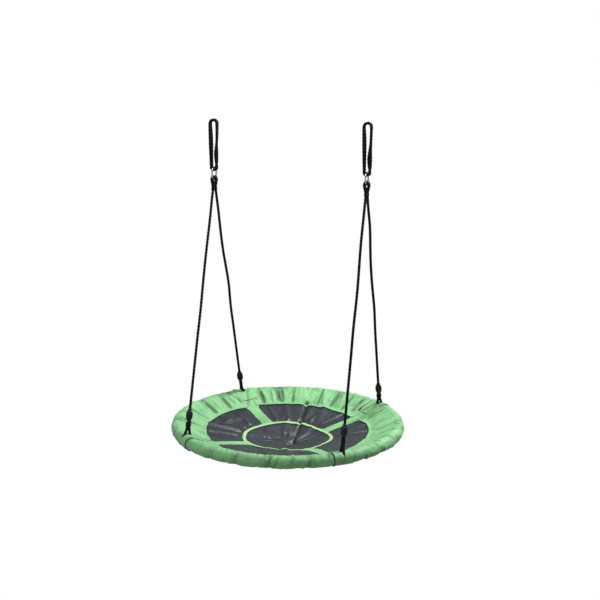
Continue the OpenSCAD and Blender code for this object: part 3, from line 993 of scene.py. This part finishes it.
def spline_weight(distance):
    """Weight of a cubic B-spline."""
    d = np.abs(distance)
    return np.where(d < 1, 2 / 3 - d**2 + d**3 / 2, np.where(d < 2, (2 - d) ** 3 / 6, 0.0))


# Depth of a fold at which its painted shade is darkest
FULL_SHADE_DEPTH = 4.5 * MM


def cloth_points(theta, s, lift):
    """Points of the settled surface, lifted off it, and how deep each lies in a fold, which sets the painted
    shade there.
    """
    theta, s, lift = np.broadcast_arrays(theta, stray(theta, s), lift)
    height = sculpt(theta, s)
    points = place_on_seat(theta, s, height + lift) + settled_move(theta, s)
    return points, np.clip(-height / FULL_SHADE_DEPTH, 0, 1)


def cloth_piece(name, theta, s, lift, thick, material, replaced=(), rows_closed=False):
    """A piece of cloth cut from the surface, of some thickness, with a soft edge all round.

    theta, s and lift are grids. The underside is lift above the surface.
    """
    theta, s, lift = np.broadcast_arrays(theta, s, lift)
    rows, columns = theta.shape
    edge = np.ones((rows, columns))
    edge[:, [0, -1]] = 0.45
    if not rows_closed:
        edge[[0, -1]] = 0.45
    middle = lift + thick / 2
    top, folds = cloth_points(theta, s, middle + edge * thick / 2)
    under, _ = cloth_points(theta, s, middle - edge * thick / 2)
    radius = np.interp(s, TABLE_S, TABLE_R)
    places = np.stack([np.unwrap(theta, axis=0) * radius.mean(), s], -1).reshape(-1, 2)
    count = rows * columns
    faces = grid_faces(rows, columns, rows_closed)
    flipped = faces[:, ::-1] + count
    walls = []
    for column in (0, columns - 1):
        line = np.arange(rows) * columns + column
        following = np.roll(line, -1) if rows_closed else line[1:]
        start = line if rows_closed else line[:-1]
        walls.append(wall(start, following, count, column == 0))
    if not rows_closed:
        for row in (0, rows - 1):
            line = row * columns + np.arange(columns)
            walls.append(wall(line[:-1], line[1:], count, row != 0))
    faces = np.vstack([faces, flipped, *walls])
    points = np.vstack([top.reshape(-1, 3), under.reshape(-1, 3)])
    if cut_outward(points, faces):
        faces = faces[:, ::-1]
    return new_piece(name, points, faces, material, "seat", replaced, np.vstack([places, places]),
                     np.concatenate([folds.ravel(), folds.ravel()]))


def wall(start, following, count, turned):
    quads = np.stack([start, start + count, following + count, following], -1)
    return quads if turned else quads[:, ::-1]


def cut_outward(points, faces):
    """True if the closed mesh is inside out."""
    a, b, c = points[faces[:, 0]], points[faces[:, 1]], points[faces[:, 2]]
    d = points[faces[:, 3]]
    volume = np.einsum("ij,ij->i", a, np.cross(b, c)).sum() + np.einsum("ij,ij->i", a, np.cross(c, d)).sum()
    return volume < 0


def spaced(first, last, step):
    return np.linspace(first, last, max(2, int(round(abs(last - first) / step)) + 1))


# ---------------------------------------------------------------- sewn pieces

GRID = 2.8 * MM
CLOTH = 0.9 * MM
LAYER = 1.0 * MM
BAND_TUCK = 3 * MM


def band_edge(theta):
    """Slant length of the covers' inner edge, which is cut and sewn by hand."""
    return PANEL_S - BAND_TUCK + 1.6 * MM * np.sin(5 * theta + 0.6) + 1.2 * MM * np.sin(9 * theta + 2.0)


def side_angles(side):
    middle = math.radians(SIDES[side])
    half = ROPE_ANGLE if side in ("right", "left") else math.pi / 2 - ROPE_ANGLE
    return middle - half, middle + half


def band_lift(s):
    """The band lies on the spokes and panels at its inner edge and hugs the foam at the rim."""
    return 2.2 * MM - 3.3 * MM * ease(s, PANEL_S + 0.03, TANGENT_S)


def make_cover(side):
    """A cover: the band, the wrap round the foam and the flap that closes under the band."""
    start, end = side_angles(side)
    share = spaced(0, 1, GRID / (RIM_R * (end - start)))[:, None]
    s_share = spaced(0, 1, GRID / (WRAP_END_S - PANEL_S))[None]
    middle_theta = start + (end - start) * share
    s = band_edge(middle_theta) + (WRAP_END_S - band_edge(middle_theta)) * s_share
    radius = np.interp(s, TABLE_S, TABLE_R)
    gap = np.arcsin((GAP_HALF + 0.6 * MM * np.sin(s * 90 + start * 5)) / radius)
    theta = start + gap + (end - start - 2 * gap) * share
    piece = cloth_piece(f"rim_cover_{side}_cloth", theta, s, band_lift(s), CLOTH, "green",
                        [f"rim_cover_{side}"])


def make_band_hem(side):
    """The folded hem along a cover's inner edge."""
    start, end = side_angles(side)
    share = spaced(0, 1, 2.2 * MM / (PANEL_R * (end - start)))[:, None]
    across = np.linspace(0, 1, 6)[None]
    inner = band_edge(start + (end - start) * share) - 1.5 * MM
    s = inner + across * 11 * MM
    gap = math.asin((GAP_HALF + 1 * MM) / PANEL_R)
    theta = start + gap + (end - start - 2 * gap) * share
    lift = band_lift(s) + CLOTH + 0.1 * MM + 0.35 * MM * np.sin(math.pi * across)
    cloth_piece(f"band_hem_{side}", theta, s, lift, 0.6 * MM, "hem")


FLAP_INNER_S = float(slant(0.399))
FLAP_END_S = wrap_s(-160)
SLOT_START_S = wrap_s(141)
SLOT_END_S = wrap_s(38)
SLOT_HALF = 8.5 * MM
# On this one flap edge the dark strip runs all the way in from the deck, as painted shade for the deep valley
# beside that edge.
SHADED_VALLEY_FLAP_EDGE = ("back_right", "left")


def flap_lift(s, across):
    """A flap lies on the covers' ends; its long edges curl up a little."""
    curl = 2.6 * MM * np.abs(across) ** 6 * ease(s, wrap_s(120), wrap_s(95))
    crown = 1.2 * MM * (1 - across**2) ** 0.5 * ease(s, FLAP_INNER_S, TANGENT_S)
    return band_lift(s) + CLOTH + 0.3 * MM + crown + curl


def make_flap(corner):
    """The flap over the gap at a rope, in two halves that part round the rope's strands."""
    angle = corner_angle(corner)
    s = spaced(FLAP_INNER_S, FLAP_END_S, 2.2 * MM)[None]
    radius = np.interp(s, TABLE_S, TABLE_R)
    middle = (SLOT_START_S + SLOT_END_S) / 2
    parting = SLOT_HALF * np.clip(1 - ((s - middle) / ((SLOT_END_S - SLOT_START_S) / 2)) ** 2, 0, 1) ** 0.6
    for name, sign in (("left", 1), ("right", -1)):
        share = spaced(0, 1, 2.2 * MM / FLAP_HALF)[:, None]
        offset = parting + 0.25 * MM + (FLAP_HALF - parting) * share
        wobble = 1 * MM * np.sin(s * 60 + angle * 3) * share
        theta = angle + sign * (offset + wobble) / radius
        lip = 0.8 * MM * np.exp(-((offset - parting) / (2 * MM)) ** 2) * ease(parting, 0, 2 * MM)
        lift = flap_lift(s, offset / (FLAP_HALF + 1 * MM)) + lip
        replaced = [f"rope_flap_{corner}"] if sign > 0 else []
        piece = cloth_piece(f"rope_flap_{corner}_{name}", theta, s, lift, CLOTH, "green", replaced)
        make_flap_shadow_strip(corner, name, angle, sign)


def make_flap_shadow_strip(corner, name, angle, sign):
    """The dark hook-and-loop strip along a flap's edge over the rim. Where it shows past the flap's edge it
    is painted shade: a dark line that stands in for the shadow under the lifted edge.
    """
    first = FLAP_INNER_S if (corner, name) == SHADED_VALLEY_FLAP_EDGE else wrap_s(96)
    s = spaced(first, FLAP_END_S, 2.2 * MM)[None]
    radius = np.interp(s, TABLE_S, TABLE_R)
    across = np.linspace(0, 1, 6)[:, None]
    # The strip reaches about 3 mm past the flap's edge, where it shows as a painted shadow line.
    offset = FLAP_HALF - 9 * MM + 12 * MM * across + 1 * MM * np.sin(s * 60 + angle * 3)
    theta = angle + sign * offset / radius
    lift = band_lift(s) + CLOTH + 0.15 * MM
    cloth_piece(f"flap_shadow_strip_{corner}_{name}", theta, s, lift, 1.1 * MM, "hook")


SPOKE_HALF = 25 * MM
SPOKE_OUTER_R = 0.434
FILLET = 26 * MM
INNER_FILLET = 9 * MM
SPOKE_SKEW = {"back_right": (2, -3), "back_left": (-3, 2), "front_left": (2, 3), "front_right": (-2, -2)}


def spoke_half(x):
    """Half width of a spoke at a distance from the middle of the deck, with rounded inner corners."""
    edge_x = PANEL_R - BAND_TUCK
    out = np.clip(x - (edge_x - FILLET), 0, FILLET) / FILLET
    inward = np.clip((CENTRE_R + 8 * MM + INNER_FILLET) - x, 0, INNER_FILLET) / INNER_FILLET
    flare = FILLET * (1 - np.sqrt(1 - np.minimum(out, 0.999) ** 2))
    foot = INNER_FILLET * (1 - np.sqrt(1 - np.minimum(inward, 0.999) ** 2))
    return SPOKE_HALF + flare + foot


def make_spoke(corner):
    """A green spoke over the seam between two dark panels."""
    angle = corner_angle(corner)
    skew_in, skew_out = (value * MM for value in SPOKE_SKEW[corner])
    x = spaced(CENTRE_R - 9 * MM, SPOKE_OUTER_R, GRID)[None]
    across = spaced(-1, 1, GRID / (SPOKE_HALF * 1.4))[:, None]
    lean = skew_in + (skew_out - skew_in) * ease(x, CENTRE_R, PANEL_R)
    y = across * spoke_half(x) + lean
    s = slant(np.hypot(x, y))
    theta = angle + np.arctan2(y, x)
    lift = 0.15 * MM + 0.25 * MM * (1 - across**2)
    piece = cloth_piece(f"deck_spoke_{corner}_cloth", theta, s, lift, CLOTH, "green",
                        [f"deck_spoke_{corner}"])


def make_panel(side):
    """A dark outer panel. Its edges are sewn in under the binding, the band and two spokes."""
    start, end = side_angles(side)
    share = spaced(0, 1, GRID / (0.3 * (end - start)))[:, None]
    radius = spaced(CENTRE_R - 4 * MM, PANEL_R + 8 * MM, GRID)[None]
    tuck = np.arcsin(14 * MM / radius)
    theta = start + tuck + (end - start - 2 * tuck) * share
    s = slant(radius) + 0 * theta
    piece = cloth_piece(f"deck_panel_{side}_cloth", theta, s, -LAYER, CLOTH, "slate", [f"deck_panel_{side}"])


def make_centre():
    """The dark centre panel, on a grid whose rows round off towards its edge."""
    side = spaced(-1, 1, GRID / CENTRE_R)
    a, b = np.meshgrid(side, side, indexing="ij")
    wide = np.abs(a) >= np.abs(b)
    lead = np.where(wide, a, b)
    other = np.where(wide, b, a)
    turn = math.pi / 4 * np.divide(other, lead, out=np.zeros_like(lead), where=lead != 0)
    x = np.where(wide, lead * np.cos(turn), lead * np.sin(turn))
    y = np.where(wide, lead * np.sin(turn), lead * np.cos(turn))
    s = (CENTRE_S + 3 * MM) * np.hypot(x, y)
    theta = np.arctan2(y, x)
    points, folds = cloth_points(theta, s, -1.95 * MM + CLOTH)
    under, _ = cloth_points(theta, s, -1.95 * MM)
    count = a.size
    faces = grid_faces(*a.shape)
    rows, columns = a.shape
    border = np.concatenate([np.arange(columns), np.arange(1, rows) * columns + columns - 1,
                             (rows - 1) * columns + np.arange(columns - 2, -1, -1),
                             np.arange(rows - 2, 0, -1) * columns])
    faces = np.vstack([faces, faces[:, ::-1] + count, wall(border, np.roll(border, -1), count, False)])
    points = np.vstack([points.reshape(-1, 3), under.reshape(-1, 3)])
    if cut_outward(points, faces):
        faces = faces[:, ::-1]
    places = np.stack([s * np.cos(theta), s * np.sin(theta)], -1).reshape(-1, 2)
    piece = new_piece("deck_centre_panel_cloth", points, faces, "slate", "seat", ["deck_centre_panel"],
                      np.vstack([places, places]), np.concatenate([folds.ravel(), folds.ravel()]))


BINDING_HALF = 7.5 * MM


def make_binding():
    """The pale tape over the seam round the centre panel, domed by the layers under it."""
    theta = np.linspace(0, TAU, 560, endpoint=False)[:, None]
    across = np.linspace(-1, 1, 9)[None]
    wander = 1.3 * MM * np.sin(4 * theta + 1.1) + 0.8 * MM * np.sin(7 * theta)
    s = CENTRE_S + across * BINDING_HALF + wander
    lift = 1.1 * MM + 0.9 * MM * (1 - across**2) + 0 * theta
    theta = theta + 0 * s
    cloth_piece("centre_binding_tape", theta, s, lift, 0.8 * MM, "tape", ["centre_binding"], rows_closed=True)


STITCH = 3.2 * MM
STITCH_GAP = 1.6 * MM
THREAD_R = 0.35 * MM


def stitches(name, theta, s, lift):
    """A row of stitches along a line on the cloth, given by its angles and slant lengths."""
    points, _ = cloth_points(theta, s, lift)
    along = np.concatenate([[0], np.cumsum(np.linalg.norm(np.diff(points, axis=0), axis=1))])
    parts = []
    for start in np.arange(0, along[-1] - STITCH, STITCH + STITCH_GAP):
        share = np.linspace(0, 1, 6)
        place = np.stack([np.interp(start + share * STITCH, along, points[:, k]) for k in range(3)], -1)
        place[:, 2] += np.sin(math.pi * share) * THREAD_R * 1.2 - THREAD_R * 0.6
        parts.append(thin_tube(place, THREAD_R, 6))
    mesh_points, faces = joined(parts)
    marks = np.stack([np.tile(np.repeat(np.linspace(0, STITCH, 6), 6), len(parts)),
                      np.zeros(len(mesh_points))], -1)
    new_piece(name, mesh_points, faces, "thread", "seat", places=marks)


def make_seams():
    """Rows of stitches: two round the binding, two along each hem, and one up each spoke's side."""
    theta = np.linspace(0, TAU, 900)
    wander = 1.3 * MM * np.sin(4 * theta + 1.1) + 0.8 * MM * np.sin(7 * theta)
    for name, offset in (("inner", -5.2 * MM), ("outer", 5.2 * MM)):
        stitches(f"binding_stitches_{name}", theta, CENTRE_S + wander + offset, 2.5 * MM)
    for side in SIDES:
        start, end = side_angles(side)
        gap = math.asin((GAP_HALF + 3 * MM) / PANEL_R)
        theta = np.linspace(start + gap, end - gap, 500)
        for row, offset in (("inner", 1 * MM), ("outer", 7 * MM)):
            s = band_edge(theta) + offset
            stitches(f"hem_stitches_{side}_{row}", theta, s, band_lift(s) + CLOTH + 1.1 * MM)
    for corner in CORNERS:
        skew_in, skew_out = (value * MM for value in SPOKE_SKEW[corner])
        x = np.linspace(CENTRE_R + 10 * MM, PANEL_R - 8 * MM, 120)
        lean = skew_in + (skew_out - skew_in) * ease(x, CENTRE_R, PANEL_R)
        for row, sign in (("left", 1), ("right", -1)):
            y = sign * (spoke_half(x) - 3 * MM) + lean
            stitches(f"spoke_stitches_{corner}_{row}", corner_angle(corner) + np.arctan2(y, x),
                     slant(np.hypot(x, y)), 1.4 * MM)


FOAM_FACETS = 48
FOAM_BORE_R = 13 * MM


FOAM_CLEARANCE = 1.3 * MM


def lowest_near(field):
    """Each value replaced by the lowest of its neighbours round it."""
    padded = np.pad(field, ((1, 1), (0, 0)), "edge")
    low = np.minimum(np.minimum(padded[:-2], padded[1:-1]), padded[2:])
    return np.minimum(np.minimum(np.roll(low, 1, 1), low), np.roll(low, -1, 1))


def make_foam(side):
    """A foam sleeve, pressed in where the cover creases, with the slit that it was opened by."""
    start, end = side_angles(side)
    gap = 15 * MM / RIM_R
    theta = spaced(start + gap, end - gap, 2.6 * MM / RIM_R)[:, None]
    turn = WRAP_START - np.arange(FOAM_FACETS) * TAU / FOAM_FACETS
    s = (TANGENT_S + (WRAP_START - turn) * COVER_R)[None]
    cover, _ = cloth_points(theta, s, band_lift(s))
    across = np.hypot(cover[..., 0], cover[..., 1]) - RIM_R
    pressed = lowest_near(np.hypot(across, cover[..., 2] - RIM_Z)) - FOAM_CLEARANCE
    pressed[:, s[0] > WRAP_END_S] = FOAM_R
    slit = np.exp(-((turn - math.radians(-160)) / 0.06) ** 2) * 1.6 * MM
    ends = np.minimum(theta - theta[0], theta[-1] - theta) * RIM_R
    outer = np.minimum(FOAM_R - 0.9 * MM, pressed) - slit - 3 * MM * np.clip(1 - ends / (4 * MM), 0, 1) ** 2
    radius = np.vstack([outer, np.full_like(outer, FOAM_BORE_R)])
    angle = np.vstack([theta, theta[::-1]])
    plan = RIM_R + radius * np.cos(turn)
    points = np.stack([plan * np.cos(angle), plan * np.sin(angle), RIM_Z + radius * np.sin(turn)], -1)
    points = points.reshape(-1, 3)
    faces = grid_faces(len(radius), FOAM_FACETS, rows_closed=True, columns_closed=True)
    if cut_outward(points, faces):
        faces = faces[:, ::-1]
    piece = new_piece(f"foam_sleeve_{side}_foam", points, faces, "foam", "seat", [f"foam_sleeve_{side}"])


STRIP_DROP = 1.7 * MM


def make_closure(side):
    """The hook-and-loop strip under a band, and the end of the cover that it holds."""
    start, end = side_angles(side)
    inner, outer = slant(RIM_R - COVER_R - 24 * MM), slant(RIM_R - COVER_R - 2 * MM)
    trim = math.asin((GAP_HALF + 5 * MM) / inner)
    theta = spaced(start + trim, end - trim, GRID / RIM_R)[:, None]
    s = spaced(float(inner), float(outer), GRID)[None]
    cloth_piece(f"cover_closure_{side}_strip", theta + 0 * s, s + 0 * theta, band_lift(s) - STRIP_DROP,
                1.5 * MM, "hook", [f"cover_closure_{side}"])
    s = spaced(float(inner) + 2 * MM, float(outer) + 14 * MM, GRID)[None]
    drop = band_lift(s) - STRIP_DROP - 1.1 * MM - 1.2 * MM * ease(s, float(outer), float(outer) + 14 * MM)
    cloth_piece(f"cover_end_{side}", theta + 0 * s, s + 0 * theta, drop, CLOTH, "green")


# ---------------------------------------------------------------- the scene


def finish_cad_nodes():
    """Materials for the CAD nodes that stay: the frame tubes and their screws."""
    for name, node in frame["nodes"].items():
        if name.startswith("frame_tube") or name == "frame_screws":
            node.data.materials.clear()
            node.data.materials.append(materials["zinc" if name == "frame_screws" else "galvanised"])


LIGHTS = [
    ("key", (1.5, 1.6, 1.5), 150, 0.9),
    ("top", (-0.9, -0.9, 2.4), 44, 1.6),
    ("fill", (-2.0, -3.0, 0.0), 16, 1.4),
]


AMBIENT = 0.32


def make_lights():
    scene = bpy.context.scene
    world = bpy.data.worlds.new("studio")
    scene.world = world
    world.use_nodes = True
    tree = world.node_tree
    sky = tree.nodes["Background"]
    sky.inputs["Strength"].default_value = AMBIENT
    backdrop = tree.nodes.new("ShaderNodeBackground")
    backdrop.inputs["Color"].default_value = (1, 1, 1, 1)
    seen = tree.nodes.new("ShaderNodeLightPath")
    both = tree.nodes.new("ShaderNodeMixShader")
    sky.inputs["Color"].default_value = (1, 1, 1, 1)
    tree.links.new(seen.outputs["Is Camera Ray"], both.inputs[0])
    tree.links.new(sky.outputs[0], both.inputs[1])
    tree.links.new(backdrop.outputs[0], both.inputs[2])
    tree.links.new(both.outputs[0], tree.nodes["World Output"].inputs[0])
    for name, place, power, size in LIGHTS:
        light = bpy.data.lights.new(name, "AREA")
        light.energy = power
        light.size = size
        made = bpy.data.objects.new(name, light)
        made.location = place
        aim = Vector((0, 0, RIM_Z))
        made.rotation_euler = (aim - Vector(place)).to_track_quat("-Z", "Y").to_euler()
        scene.collection.objects.link(made)
    scene.view_settings.view_transform = "Standard"


make_camera()
for side, sign in (("left", -1), ("right", 1)):
    make_sling(side, sign)
    make_ring(side, sign)
for corner in CORNERS:
    make_rope(corner)
    make_rim_loop(corner)
    make_adjuster(corner)
    make_spoke(corner)
    make_flap(corner)
for side in SIDES:
    make_foam(side)
    make_cover(side)
    make_band_hem(side)
    make_closure(side)
    make_panel(side)
make_centre()
make_binding()
make_seams()
finish_cad_nodes()
make_lights()
